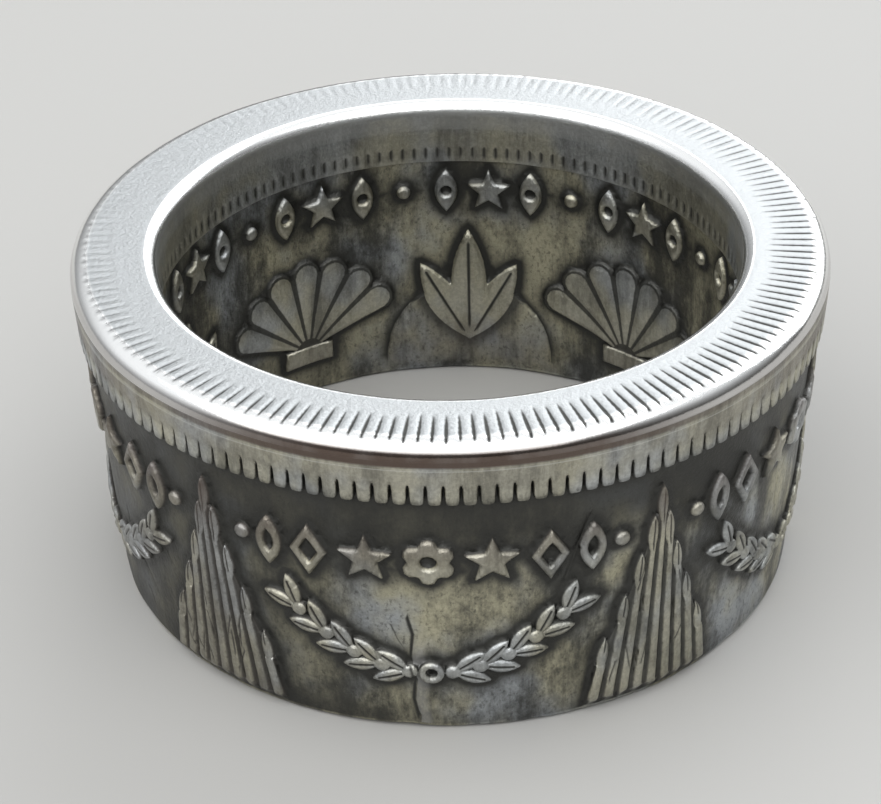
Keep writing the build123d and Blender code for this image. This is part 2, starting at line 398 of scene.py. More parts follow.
def border_marks(low, high, extra, count=40, gap=0.1):
    """Heights at which a wall's points meet the next sector's, closer where the wall steps."""
    even = [m for m in np.linspace(low, high, count)[1:-1] if min(abs(m - e) for e in extra) > gap]
    return sorted([low, high, *even, *extra])


def column_places(half):
    return np.linspace(-half, half, columns + 1)[1:-1]


def even_rows(half, heights):
    x = column_places(half)
    return np.concatenate([np.stack([x, np.full(len(x), y)], 1) for y in heights])


def smooth(value, start, end):
    t = np.clip((value - start) / (end - start), 0, 1)
    return t * t * (3 - 2 * t)


def above_foot(z):
    """0 at the foot's round edge, 1 a little above it, where forms may rise in full."""
    return smooth(z, foot_round, foot_round + 0.4)


def around_ring(azimuth, sector):
    """Radians round the ring from its front, for degrees from a sector's middle."""
    return np.radians(azimuth + pattern_turn + sector * sector_angle)


# Outer wall

def outer_field_radius(z):
    return foot_outer_radius + (field_top_radius - foot_outer_radius) * z / ledge_height


def band_radius(z):
    return band_low_radius + outer_band_taper * (z - ledge_height) / outer_band_height


band_lean = atan2(outer_band_taper, outer_band_height)
edge_tangent = outer_edge_round / tan((pi / 2 - band_lean) / 2)
outer_top = height - edge_tangent * cos(band_lean)
outer_half = outer_draw_radius * radians(sector_angle / 2)
inner_half = inner_draw_radius * radians(sector_angle / 2)
inner_top = height - inner_edge_round


def wall_x(reach, z):
    """Where a distance along the outer wall falls on the flat drawing."""
    return reach * outer_draw_radius / outer_field_radius(z)


def outer_row():
    """Ornaments under the rim, mirrored about the sector's middle."""
    z = 0.749 * ledge_height
    bud = leaf(2.10, 0.98) - (0, 1.05)
    bud_eye = leaf(0.90, 0.34, 6) - (0, 0.45)
    row = [
        dict(reach=0.0, edge=0.14, outline=flower(0.95, 6, 0.34), hole=circle(0.26, 12)),
        dict(reach=2.12, edge=0.13, outline=star(1.02, 0.45)),
        dict(reach=4.08, edge=0.12, outline=diamond(1.35, 2.15), hole=diamond(0.63, 1.00)),
        dict(reach=5.56, edge=0.13, outline=bud, hole=bud_eye),
        dict(reach=6.62, edge=0.15, outline=circle(0.30, 14)),
    ]
    shapes = []
    for one in row:
        holes = [one["hole"][::-1]] if "hole" in one else []
        for side in both_sides(one["reach"]):
            place = (side * wall_x(one["reach"], z), z)
            shapes.append(form(one["outline"], outer_relief, one["edge"], place, holes=holes))
    return shapes


def both_sides(reach):
    return (-1, 1) if reach else (1,)


def garland():
    """Laurel leaf pairs along a hanging curve, and a pierced bead at its lowest point."""
    pairs = 5
    reach = 4.75
    low = 0.262 * ledge_height
    sag = 0.505 * ledge_height - low
    shapes = [form(circle(0.48, 18), outer_relief, 0.16, (0, low), holes=[circle(0.18, 10)[::-1]])]
    cuts = []
    for k in range(pairs):
        share = (k + 0.75) / pairs
        z = low + sag * share**2
        slope = degrees(atan2(2 * share * sag, reach))
        for side in (-1, 1):
            place = np.array((side * wall_x(share * reach, z), z))
            along = side * (slope - 90)
            for splay in (-27, 27):
                turn = along + splay
                shapes.append(form(leaf(1.45, 0.60, 10), outer_relief, 0.15, place, turn, dome=0.05))
                vein = np.stack([np.zeros(6), np.linspace(0.30, 1.15, 6)], 1)
                cuts.append(groove(turned(vein, turn) + place, 0.06, 0.045))
            shapes.append(form(circle(0.30, 12), outer_relief, 0.14, place))
    return shapes, cuts


sheaf_meeting_height = 16.0
nicks_per_side = 14
sheaf_stalks = [
    dict(reach=0.0, top=9.20),
    dict(reach=0.60, top=8.05),
    dict(reach=1.20, top=6.60),
    dict(reach=1.80, top=5.00),
    dict(reach=2.40, top=3.30),
]


def sheaf_stalk(reach, top):
    """A leaning stalk that narrows as it rises, and the pointed ear on it."""
    width, drop, ear_length = 0.46, 0.6, 1.75
    ear_start = top - ear_length
    end = ear_start + ear_length / 3
    narrow = width * (1 - ear_start / sheaf_meeting_height)
    lean = degrees(atan2(reach, sheaf_meeting_height))
    stalk = np.array([(-width / 2, -drop), (width / 2, -drop), (narrow / 2, end), (-narrow / 2, end)])
    ear = leaf(ear_length, 0.44, 10) + (0, ear_start)
    return [turned(loop, lean) + (reach, 0) for loop in (stalk, ear)]


def sheaf_ground():
    """The outline of the stalks' low ground, which the ears reach past."""
    margin = 0.20
    half = []
    for stalk in sheaf_stalks:
        top = stalk["top"] - 1.25
        half.append((stalk["reach"] * (1 - top / sheaf_meeting_height) + margin, top))
    outer_reach = sheaf_stalks[-1]["reach"] + 0.23 + margin
    base = [(-outer_reach, -0.6), (outer_reach, -0.6)]
    return np.array(base + half[::-1] + [(-x, y) for x, y in half])


def sheaves(shake):
    """Stalks with pointed ears on a low ground, at both edges of the sector, with tool nicks."""
    shapes, cuts = [], []
    for x in (-outer_half, outer_half):
        shapes.append(form(sheaf_ground(), outer_low_relief, 0.06, (x, 0), spacing=0.3))
        for row in sheaf_stalks:
            for side in both_sides(row["reach"]):
                stalk, ear = sheaf_stalk(side * row["reach"], row["top"])
                shapes.append(form(stalk, outer_relief, 0.10, (x, 0), spacing=0.42))
                shapes.append(form(ear, outer_relief, 0.14, (x, 0), spacing=0.24, dome=0.04))
                tip = ear[ear[:, 1].argmax()] + (x, 0)
                root = stalk[:2].mean(0) + (x, 0)
                line = tip + np.outer(np.linspace(0.03, 0.16, 6), root - tip)
                cuts.append(groove(line, 0.05, 0.035, 0.8))
        inward = -np.sign(x)
        for _ in range(nicks_per_side):
            start = np.array((x + inward * shake.uniform(0.1, 2.1), shake.uniform(0.5, 5.5)))
            lean = radians(shake.normal(0, 12) + inward * 6)
            length = shake.uniform(0.5, 1.3)
            line = start + np.outer(np.linspace(0, length, 5), (sin(lean), cos(lean)))
            depth = shake.uniform(0.03, 0.06)
            if depth_in(sheaf_ground() + (x, 0), line).min() > 0.15:
                cuts.append(groove(line, depth, 0.040, 0.65))
    return shapes, cuts


scratches_per_sector = 9
crease = np.array([(-0.78, 4.9), (-0.62, 4.2), (-0.74, 3.1), (-0.58, 2.2), (-0.66, 1.3), (-0.52, 0.6)])
side_crack = [(-1.35, 4.6), (-1.15, 4.0), (-0.85, 3.4)]
long_scratch = [(4.55, 6.2), (4.95, 7.5), (5.40, 8.8)]


def scratches(sector, shake):
    """Fine marks of wear, and on the front the crease and the long scratch."""
    cuts = []
    for _ in range(scratches_per_sector):
        start = np.array((shake.uniform(-0.7, 0.7) * outer_half, shake.uniform(0.8, 7.5)))
        lean = shake.normal(0, 30)
        line = start + turned(np.array([(0, 0), (0.05, 0.5), (0, 1.0)]) * shake.uniform(0.5, 1.6), lean)
        cuts.append(groove(line, shake.uniform(0.015, 0.03), 0.035, 0.15))
    if sector == 0:
        cuts.append(groove(long_scratch, 0.05, 0.045, 0.7))
        cuts.append(groove(crease, 0.055, 0.07, 0.7))
        cuts.append(groove(side_crack, 0.03, 0.04, 0.4))
    return [cut for cut in cuts if np.abs(cut["line"][:, 0]).max() < outer_half - 0.3]


# The smooth band ends in a light line and a painted dark reflection in brown, at closer rows of points
# under the edge
slit_top = ledge_height + 0.85
tooth_rise = 0.30
band_row_step = 0.22
line_rows = outer_top - np.array([0.38, 0.30, 0.22, 0.12])


def denticles():
    """Tongues that hang from the smooth band, with thin slits between them."""
    pitch = 2 * outer_half / denticles_per_sector
    half = (pitch - 0.03) / 2
    top = ledge_height + 1.15
    right = [(half * 0.60, 0.015), (half * 0.86, 0.08), (half * 0.97, 0.24), (half, 0.85)]
    right = [(x, ledge_height + y) for x, y in right]
    tongue = [(0, ledge_height), *right, (half, top)]
    tongue += [(-x, y) for x, y in tongue[::-1][:-1]]
    shapes = []
    for k in range(denticles_per_sector + 1):
        x = -outer_half + k * pitch
        shapes.append(form(np.array(tongue), tooth_rise, 0.065, (x, 0), spacing=0.2))
    return shapes


def outer_wall(sector):
    shake = np.random.default_rng(40 + sector)
    sheaf_shapes, sheaf_cuts = sheaves(shake)
    garland_shapes, garland_cuts = garland()
    teeth = denticles()
    forms = outer_row() + garland_shapes + sheaf_shapes + teeth
    cuts = sheaf_cuts + garland_cuts + scratches(sector, shake)
    relief = Relief(forms, cuts, outer_half, foot_round, outer_top, outer_relief)
    band_rows = [*np.arange(slit_top + 0.12, outer_top - 0.45, band_row_step), *line_rows]
    loose = hex_grid(outer_half, foot_round, slit_top, 0.34, 7 + sector)
    backdrop = np.concatenate([loose, even_rows(outer_half, band_rows)])
    step_marks = [ledge_height - 0.05, ledge_height, ledge_height + 0.03, ledge_height + 0.09]
    side_marks = border_marks(foot_round, outer_top, step_marks)
    flat, faces = triangulate(relief, backdrop, side_marks)
    rise, raised, away, grooved = relief.sample(flat)
    z = flat[:, 1]
    in_band = z > ledge_height - 0.1
    teeth_alone = Relief(teeth, [], outer_half, foot_round, outer_top, tooth_rise)
    on_teeth = teeth_alone.sample(flat)[0] / tooth_rise
    on_band = smooth(z, slit_top - 0.10, slit_top + 0.02)
    stepped = np.maximum(on_teeth, on_band)
    band_rise = band_radius(z) - outer_field_radius(z)
    rise = np.where(in_band, np.maximum(rise * (z < ledge_height), stepped * band_rise), rise)
    darker_tips = 0.74 + 0.26 * smooth(z, ledge_height + 0.05, ledge_height + 0.55)
    raised = np.where(in_band, stepped * darker_tips, raised)
    azimuth = np.degrees(flat[:, 0] / outer_draw_radius)
    radius = outer_field_radius(z) + rise * above_foot(z)
    light_start, lightest, light_end, dark_reflection_start = line_rows
    light_line = smooth(z, light_start, lightest) * smooth(z, light_end, lightest)
    # Painted dark reflection in brown above the light line, running up into the rounded edge.
    dark_reflection_line = smooth(z, light_end, dark_reflection_start) * dark_reflection_strength(azimuth, sector)
    # Painted shade on the smooth band, growing away from the front.
    band_side_shade = painted_band_shade(azimuth, sector) * on_band * smooth(z, light_end, light_start)
    fold = rubbed_fold_reflection(flat[:, 0], z, sector)
    # Painted shade on the left of the field and along its foot.
    left_and_foot_shade = painted_field_shade(azimuth, z, sector)
    marks = dict(
        raised=raised * above_foot(z),
        away=away,
        grooved=grooved * (1 - on_band),
        # The fold strip is partly a painted reflection.
        polish=0.5 * light_line + 0.44 * fold * (1 - raised),
        # Painted shade: the painted dark reflection line, the band darker away from the front, and the
        # field darker under the rim, on its left and along its foot.
        tarnish=dark_reflection_line + band_side_shade + 0.6 * under_rim_shade(z) + left_and_foot_shade * (1 - 0.6 * raised),
        land=np.zeros(len(z)),
    )
    return azimuth, radius, z, faces, marks


def rubbed_fold_reflection(x, z, sector):
    """The strip right of the crease: rubbed bright, and a painted reflection."""
    if sector != 0:
        return 0 * x
    from_crease = x - np.interp(z, crease[::-1, 1], crease[::-1, 0])
    strip = smooth(from_crease, -0.02, 0.06) * smooth(from_crease, 1.05, 0.30)
    return strip * smooth(z, crease[0, 1] + 0.1, crease[0, 1] - 1.4)


def under_rim_shade(z):
    """Painted shade: how dark the field is kept under the rim, down to mid height."""
    return smooth(z, ledge_height - 3.6, ledge_height - 0.7) * (z < ledge_height)


def painted_field_shade(azimuth, z, sector):
    """Painted shade on the left of the field and along its foot."""
    left = 0.46 * smooth(np.cos(around_ring(azimuth, sector) + radians(75)), 0.2, 0.9)
    return (left + 0.25 * smooth(z, 1.4, 0.2)) * (z < ledge_height)


def painted_band_shade(azimuth, sector):
    """Painted shade: the smooth band is a little darker away from the front."""
    return 0.08 + 0.44 * smooth(np.cos(around_ring(azimuth, sector)), 0.95, 0.3)


def dark_reflection_strength(azimuth, sector):
    """The painted dark reflection under the polished edge, strongest at the front."""
    return 0.40 + 0.60 * smooth(np.cos(around_ring(azimuth, sector) + radians(3)), 0.70, 0.97)


# Inner wall

def inner_field_radius(z):
    return foot_inner_radius + (inner_field_top_radius - foot_inner_radius) * z / inner_ledge_height


def inner_row():
    """Stars, pierced upright leaves and dots."""
    count = 8
    z = 0.862 * inner_ledge_height
    shapes = []
    for k in range(count):
        x = inner_draw_radius * radians(((k + 0.5) / count - 0.5) * sector_angle)
        if k % 4 == 0:
            shapes.append(form(star(0.98, 0.43), inner_relief, 0.12, (x, z), spacing=0.2))
        elif k % 4 == 2:
            shapes.append(form(circle(0.30, 14), inner_relief, 0.16, (x, z)))
        else:
            eye = circle(0.21, 10)[::-1]
            outline = leaf(1.95, 0.95, 10) - (0, 0.975)
            shapes.append(form(outline, inner_relief, 0.13, (x, z), holes=[eye], spacing=0.2))
    return shapes


shell_turns = [-60, -40, -20, 0, 20, 40, 60]
shell_rib_length = 3.55
shell_rib_half = shell_rib_length * sin(radians(10)) - 0.09


def shell_rib():
    """A wedge with a round end, seen from the shell's foot."""
    start = shell_rib_half * 0.60 / shell_rib_length
    bend = np.radians(np.linspace(0, 180, 8))
    end = polar(shell_rib_half, bend) + (0, shell_rib_length)
    return np.concatenate([[(-start, 0.60), (start, 0.60)], end])


def shell_outline():
    """The scalloped edge of the low ground under the ribs."""
    radius = shell_rib_half + 0.16
    points = [(0, 0)]
    for turn in shell_turns:
        for a in np.radians(np.linspace(-75, 75, 7)):
            x, y = radius * sin(a), shell_rib_length + radius * cos(a)
            if abs(degrees(atan2(x, y))) <= 10.5:
                points.append(tuple(turned(np.array([(x, y)]), -turn)[0]))
    return np.array(points)[::-1]


def shell_forms():
    """A scallop shell in the middle of the sector."""
    z = 0.205 * inner_ledge_height
    shapes = [form(shell_outline(), inner_low_relief, 0.10, (0, z), spacing=0.35)]
    for turn in shell_turns:
        shapes.append(form(shell_rib(), inner_relief, 0.22, (0, z), turn, spacing=0.3, dome=0.04))
    shapes.append(form(box_outline(2.2, 0.85), inner_relief, 0.12, (0, z - 0.125), spacing=0.35))
    return shapes


def arch(half_width, low, top, steps=24):
    """The loop under one round arc from (-half_width, low) over (0, top)."""
    tall = top - low
    radius = (half_width**2 + tall**2) / (2 * tall)
    end = pi / 2 - atan2(radius - tall, half_width)
    a = np.linspace(-end, end, steps)[::-1]
    return np.stack([radius * np.sin(a), top - radius + radius * np.cos(a)], 1)


def edge_forms():
    """Three broad leaves on a low mound, at both edges of the sector."""
    leaves = [
        dict(length=5.20, width=1.55, turn=0),
        dict(length=4.20, width=1.35, turn=28),
    ]
    shapes, cuts = [], []
    top = 0.44 * inner_ledge_height
    for x in (-inner_half, inner_half):
        mound = arch(3.1, -0.4, top)
        shapes.append(form(mound, inner_low_relief, 0.3, (x, 0), spacing=0.4))
        root = (x, 0.15 * inner_ledge_height)
        for row in leaves:
            for side_sign in both_sides(row["turn"]):
                turn = side_sign * row["turn"]
                outline = leaf(row["length"], row["width"], 14)
                shapes.append(form(outline, inner_relief, 0.22, root, turn, spacing=0.3, dome=0.05))
                vein = np.stack([np.zeros(14), np.linspace(0.12, 0.88, 14) * row["length"]], 1)
                cuts.append(groove(turned(vein, turn) + root, 0.07, 0.06))
    return shapes, cuts


def inner_pits():
    pitch = 2 * inner_half / denticles_per_sector
    z = inner_ledge_height + 0.25
    cuts = []
    for k in range(denticles_per_sector):
        x = -inner_half + (k + 0.5) * pitch
        cuts.append(groove([(x, z + 0.06), (x, z + 0.20), (x, z + 0.34)], 0.09, 0.08, 0.75))
    return cuts


def painted_inner_shade(z):
    """Painted shade: the inner field is darkest behind the upper row and down by the foot."""
    behind_row = smooth(z, inner_ledge_height - 3.2, inner_ledge_height - 1.6)
    return 0.08 * behind_row + 0.24 * smooth(z, 3.6, 1.2)


def inner_wall():
    edge_shapes, edge_cuts = edge_forms()
    forms = inner_row() + shell_forms() + edge_shapes
    cuts = edge_cuts + inner_pits()
    relief = Relief(forms, cuts, inner_half, foot_round, inner_top, inner_relief)
    band_rows = list(inner_ledge_height + np.array([-0.05, 0.0, 0.05, 0.10]))
    band_rows += list(np.arange(inner_ledge_height + 0.75, inner_top - 0.1, 0.25))
    loose = hex_grid(inner_half, foot_round, inner_ledge_height - 0.1, 0.38, 11)
    backdrop = np.concatenate([loose, even_rows(inner_half, band_rows)])
    side_marks = border_marks(foot_round, inner_top, band_rows[:4])
    flat, faces = triangulate(relief, backdrop, side_marks)
    rise, raised, away, grooved = relief.sample(flat)
    z = flat[:, 1]
    on_band = smooth(z, inner_ledge_height - 0.05, inner_ledge_height + 0.07)
    band_rise = inner_field_radius(z) - bore_radius
    rise = rise + on_band * band_rise
    azimuth = np.degrees(flat[:, 0] / inner_draw_radius)
    radius = inner_field_radius(z) - rise * above_foot(z)
    raised = np.maximum(raised, on_band)
    dull_band = smooth(z, height - 1.25, height - 1.05)
    marks = dict(
        raised=raised * above_foot(z),
        away=away + 0.6 * smooth(z, 0.9, 0.3),
        grooved=grooved,
        polish=0.45 * dull_band,
        # Painted shade on the inner field, and a little on the band below the polished top band.
        tarnish=0.04 * on_band * (1 - dull_band) + (1 - on_band) * painted_inner_shade(z),
        land=0.50 * dull_band + 0.10 * on_band,
    )
    return -azimuth, radius, z, faces, marks


# Top face and its two rounded edges

outer_edge_points = 11
land_points = 12
inner_edge_points = 9
foot_edge_points = 6
reed_half = 0.072
reed_depth = 0.065


def arc(centre, radius, start, end, count):
    return polar(radius, np.linspace(start, end, count)) + centre


def top_profile():
    """Radius and height along the rim, from the outer band over the top to the bore."""
    outer_radius = band_radius(outer_top) - outer_edge_round * cos(band_lean)
    outer_centre = (outer_radius, height - outer_edge_round)
    inner_centre = (bore_radius + inner_edge_round, height - inner_edge_round)
    across = np.linspace(outer_centre[0], inner_centre[0], land_points)[1:-1]
    return np.concatenate([
        arc(outer_centre, outer_edge_round, -band_lean, pi / 2, outer_edge_points),
        np.stack([across, np.full(len(across), height)], 1),
        arc(inner_centre, inner_edge_round, pi / 2, pi, inner_edge_points),
    ])


def towards(around, direction):
    """1 on the side of the ring that faces a direction in degrees, falling to 0 on the far side."""
    return 0.5 + 0.5 * cos(around - radians(direction))


def reeds(sector, flat_start, flat_end):
    """The milled slits of one sector as lines across the flattened top, and how deep each is."""
    shake = np.random.default_rng(100 + sector)
    cuts = []
    for k in range(reeds_per_sector):
        azimuth = ((k + 0.5) / reeds_per_sector - 0.5) * sector_angle
        x = top_draw_radius * radians(azimuth)
        around = around_ring(azimuth, sector)
        outward = 0.08 + 0.32 * towards(around, 20)
        start = flat_start - outward + shake.uniform(-0.04, 0.04)
        end = flat_start + 0.90 + 0.75 * towards(around, 75) + shake.uniform(-0.12, 0.12)
        end = min(end, flat_end - 0.05)
        y = np.linspace(start, end, 7)
        cut = groove(np.stack([np.full(7, x), y], 1), reed_depth, 0.07)
        cut["strength"] = 0.36 + 0.64 * towards(around, 35)
        cuts.append(cut)
    return cuts


def top_mesh(sector):
    profile = top_profile()
    steps = np.hypot(*np.diff(profile, axis=0).T)
    run = np.concatenate([[0], np.cumsum(steps)])
    half = top_draw_radius * radians(sector_angle / 2)
    flat_start = run[outer_edge_points - 1]
    flat_end = run[-inner_edge_points]
    cuts = reeds(sector, flat_start, flat_end)
    relief = Relief([], cuts, half, 0.0, run[-1])
    lines = [cut["line"] + (side, 0) for cut in cuts for side in (-reed_half, reed_half)]
    backdrop = np.concatenate([*lines, even_rows(half, run[1:-1])])
    flat, faces = triangulate(relief, backdrop, list(run))
    depth = np.zeros(len(flat))
    grooved = np.zeros(len(flat))
    for cut in cuts:
        x, first = cut["line"][0]
        last = cut["line"][-1, 1]
        near = np.flatnonzero(np.abs(flat[:, 0] - x) < 0.25)
        along = np.clip((flat[near, 1] - first) / (last - first), 0, 1)
        fade = np.sqrt(np.clip(4 * along * (1 - along), 0, 1)) * (1 - 0.45 * along)
        across = np.clip(1 - np.abs(flat[near, 0] - x) / reed_half, 0, 1)
        inside = (flat[near, 1] > first) & (flat[near, 1] < last)
        bite = cut["strength"] * fade * across * inside
        depth[near] = np.maximum(depth[near], cut["depth"] * bite)
        grooved[near] = np.maximum(grooved[near], 1.8 * cut["strength"] * bite)
    r = np.interp(flat[:, 1], run, profile[:, 0])
    z = np.interp(flat[:, 1], run, profile[:, 1])
    outer_side = r > bore_radius + rim_wall / 2
    on_flat = smooth(flat[:, 1], flat_start - 0.15, flat_start + 0.15)
    on_flat *= 1 - smooth(flat[:, 1], flat_end - 0.05, flat_end + 0.10)
    low_round = smooth(z, outer_top + 0.46, outer_top + 0.36) * outer_side
    into_bore = smooth(z, height - 0.05, inner_top) * ~outer_side
    azimuth = np.degrees(flat[:, 0] / top_draw_radius)
    marks = dict(
        raised=np.ones(len(z)),
        away=np.ones(len(z)),
        grooved=grooved,
        polish=(1 - on_flat) * (1 - 0.5 * into_bore),
        # Painted dark reflection on the low part of the outer round, strongest at the front.
        tarnish=low_round * dark_reflection_strength(azimuth, sector),
        land=1 - smooth(z, outer_top + 0.1, outer_top - 0.02),
    )
    return azimuth, r, z - depth, faces, marks


# Foot: the flat edge that the ring stands on, between two small rounds

def foot_mesh():
    outer_centre = (outer_field_radius(foot_round) - foot_round, foot_round)
    inner_centre = (inner_field_radius(foot_round) + foot_round, foot_round)
    profile = np.concatenate([
        arc(outer_centre, foot_round, 0, -pi / 2, foot_edge_points),
        [((foot_outer_radius + foot_inner_radius) / 2, 0)],
        arc(inner_centre, foot_round, -pi / 2, -pi, foot_edge_points),
    ])
    azimuths = np.linspace(-sector_angle / 2, sector_angle / 2, columns + 1)
    count = columns + 1
    azimuth = np.tile(azimuths, len(profile))
    radius = np.repeat(profile[:, 0], count)
    z = np.repeat(profile[:, 1], count)
    faces = []
    for row in range(len(profile) - 1):
        for k in range(columns):
            a = row * count + k
            faces.append((a, a + count, a + 1))
            faces.append((a + 1, a + count, a + count + 1))
    marks = {name: np.zeros(len(z)) for name in mark_names}
    marks["raised"] += 0.40
    marks["away"] += 1
    return azimuth, radius, z, np.array(faces), marks


# The whole ring

slow_dent = 0.045
quick_dent = 0.016
fold_wave = 0.046
foot_lift = 0.14
foot_ripple = 0.06
lift_height = 2.5


def wear(points):
    """Small dents, an uneven foot edge and slow waves left by folding the coin."""
    moved = points.copy()
    for k, (x, y, z) in enumerate(points):
        radius = hypot(x, y)
        azimuth = atan2(x, -y)
        slow = noise.noise(Vector((x * 0.16, y * 0.16, z * 0.10)))
        fold = noise.noise(Vector((x * 0.42, y * 0.42, z * 0.05 + 20)))
        quick = noise.noise(Vector((x * 0.55 + 9, y * 0.55, z * 0.40)))
        outward = slow_dent * slow + quick_dent * quick
        outward += fold_wave * fold * max(0.0, 1 - z / ledge_height)
        around = Vector((cos(azimuth), sin(azimuth), 0.0))
        lift = foot_lift * max(0.0, noise.noise(around * 3))
        lift += foot_ripple * max(0.0, noise.noise(around * 11))
        low = max(0.0, 1 - z / lift_height)
        stretch = (radius + outward) / radius
        moved[k] = (x * stretch, y * stretch, z + lift * low * low)
    return moved


def ring_object():
    shared = [inner_wall(), foot_mesh()]
    points, faces = [], []
    marks = {name: [] for name in mark_names}
    total = 0
    for sector in range(sector_count):
        turn = pattern_turn + sector * sector_angle
        for azimuth, radius, z, triangles, values in [outer_wall(sector), top_mesh(sector), *shared]:
            a = np.radians(azimuth + turn)
            points.append(np.stack([radius * np.sin(a), -radius * np.cos(a), z], 1))
            faces.append(triangles + total)
            total += len(z)
            for name in marks:
                marks[name].append(values[name])
    points = np.concatenate(points)
    faces = np.concatenate(faces)
    grid = np.round(points / same_point)
    _, first, merged = np.unique(grid, axis=0, return_index=True, return_inverse=True)
    points = wear(points[first])
    faces = merged.reshape(-1)[faces]
    mesh = bpy.data.meshes.new("ring_band")
    mesh.from_pydata((points * MM).tolist(), [], faces.tolist())
    for name, values in marks.items():
        attribute = mesh.attributes.new(name, "FLOAT", "POINT")
        attribute.data.foreach_set("value", np.concatenate(values)[first])
    mesh.shade_smooth()
    ring = bpy.data.objects.new("ring_band", mesh)
    bpy.context.collection.objects.link(ring)
    print("ring_band", len(points), "points", len(faces), "triangles")
    return ring


# Material

class Nodes:
    """The node tree of a material or of the world, with short ways to add and join nodes."""

    def __init__(self, owner):
        owner.use_nodes = True
        self.owner = owner
        self.tree = owner.node_tree

    def surface(self, name):
        return self.tree.nodes["Principled BSDF"].inputs[name]

    def node(self, kind, **settings):
        made = self.tree.nodes.new(kind)
        for key, value in settings.items():
            setattr(made, key, value)
        return made

    def put(self, socket, value):
        if isinstance(value, bpy.types.NodeSocket):
            self.tree.links.new(value, socket)
        else:
            socket.default_value = value

    def attribute(self, name):
        return self.node("ShaderNodeAttribute", attribute_name=name).outputs["Fac"]

    def math(self, operation, *values):
        made = self.node("ShaderNodeMath", operation=operation)
        for socket, value in zip(made.inputs, values):
            self.put(socket, value)
        return made.outputs[0]

    def times(self, a, b):
        return self.math("MULTIPLY", a, b)

    def larger(self, a, b):
        return self.math("MAXIMUM", a, b)

    def total(self, *terms, start=0.0):
        """The sum of values, each given with its weight."""
        for value, weight in terms:
            start = self.math("MULTIPLY_ADD", value, weight, start)
        return start

    def mix(self, share, a, b):
        made = self.node("ShaderNodeMix", data_type="RGBA")
        for socket, value in ((made.inputs["Factor"], share), (made.inputs[6], a), (made.inputs[7], b)):
            self.put(socket, value)
        return made.outputs[2]

    def remap(self, value, low, high, to_low=0.0, to_high=1.0):
        made = self.node("ShaderNodeMapRange", interpolation_type="SMOOTHSTEP")
        for socket, given in zip(made.inputs, (value, low, high, to_low, to_high)):
            self.put(socket, given)
        return made.outputs[0]

    def noise(self, scale, detail=4.0, roughness=0.55, stretch=(1, 1, 1), offset=(0, 0, 0)):
        """Noise over the object, with scale in cycles per millimetre."""
        mapping = self.node("ShaderNodeMapping")
        mapping.inputs["Scale"].default_value = [1 / MM * s for s in stretch]
        mapping.inputs["Location"].default_value = offset
        self.put(mapping.inputs["Vector"], self.node("ShaderNodeTexCoord").outputs["Object"])
        made = self.node("ShaderNodeTexNoise")
        made.inputs["Scale"].default_value = scale
        made.inputs["Detail"].default_value = detail
        made.inputs["Roughness"].default_value = roughness
        self.put(made.inputs["Vector"], mapping.outputs[0])
        return made.outputs[0]


# The broad patches and the fold bands paint reflections into the fields' rubbed pattern.
clouds = dict(
    patches=dict(scale=0.26, detail=2.0, roughness=0.5, stretch=(1, 1, 0.45), offset=(3.1, 0.7, 0)),
    fold_reflections=dict(scale=0.55, detail=2.0, roughness=0.5, stretch=(1, 1, 0.25), offset=(1.3, 6.1, 2.0)),
    blotches=dict(scale=0.9, detail=5.0, roughness=0.60, stretch=(1, 1, 0.6)),
    streaks=dict(scale=4.0, detail=6.0, roughness=0.75, stretch=(1, 1, 0.09)),
    grain=dict(scale=8.0, roughness=0.65),
    tint=dict(scale=0.27, detail=3.0, stretch=(1, 1, 0.8), offset=(11.0, 4.0, 2.0)),
    mottle=dict(scale=3.6, detail=6.0, roughness=0.72, stretch=(1, 1, 0.55), offset=(2.0, 8.0, 1.0)),
    specks=dict(scale=7.0, detail=3.0, roughness=0.6, stretch=(1, 1, 0.7), offset=(5, 5, 5)),
    dents=dict(scale=2.2, detail=3.0, roughness=0.6, offset=(7, 1, 4)),
)
polished = (0.93, 0.93, 0.92, 1)
matte_silver = (0.515, 0.53, 0.535, 1)
rubbed_silver = (0.56, 0.545, 0.46, 1)
rubbed_cool = (0.52, 0.535, 0.53, 1)
worn_cool = (0.46, 0.485, 0.505, 1)
worn_warm = (0.575, 0.545, 0.40, 1)
oxide = (0.060, 0.060, 0.056, 1)
# The brown of the painted shade and of the painted dark reflection.
brown = (0.135, 0.102, 0.086, 1)
halo_width = 0.32
bump_depth = 0.035


def field_colour(nodes, cloud, tarnish, crevice):
    """The sunk fields: worn metal, cool or warm, with oxide where it was not rubbed away. The rubbed
    pattern is partly painted reflection in its broad patches and fold bands.
    """
    worn = nodes.mix(nodes.remap(cloud["tint"], 0.36, 0.56), worn_cool, worn_warm)
    weights = dict(patches=0.8, blotches=0.40, fold_reflections=0.9, streaks=0.30, mottle=0.55)
    rub_and_reflections = nodes.total(*[(cloud[name], weight) for name, weight in weights.items()])
    rub_and_reflections = nodes.remap(rub_and_reflections, 1.25, 1.67, 0.10, 1.0)
    open_field = nodes.remap(crevice, 0.0, 0.60, 1.0, 0.0)
    # The painted shade darkens the field towards oxide.
    clear = nodes.remap(tarnish, 0.0, 0.6, 1.0, 0.10)
    return nodes.mix(nodes.times(rub_and_reflections, nodes.times(open_field, clear)), oxide, worn)


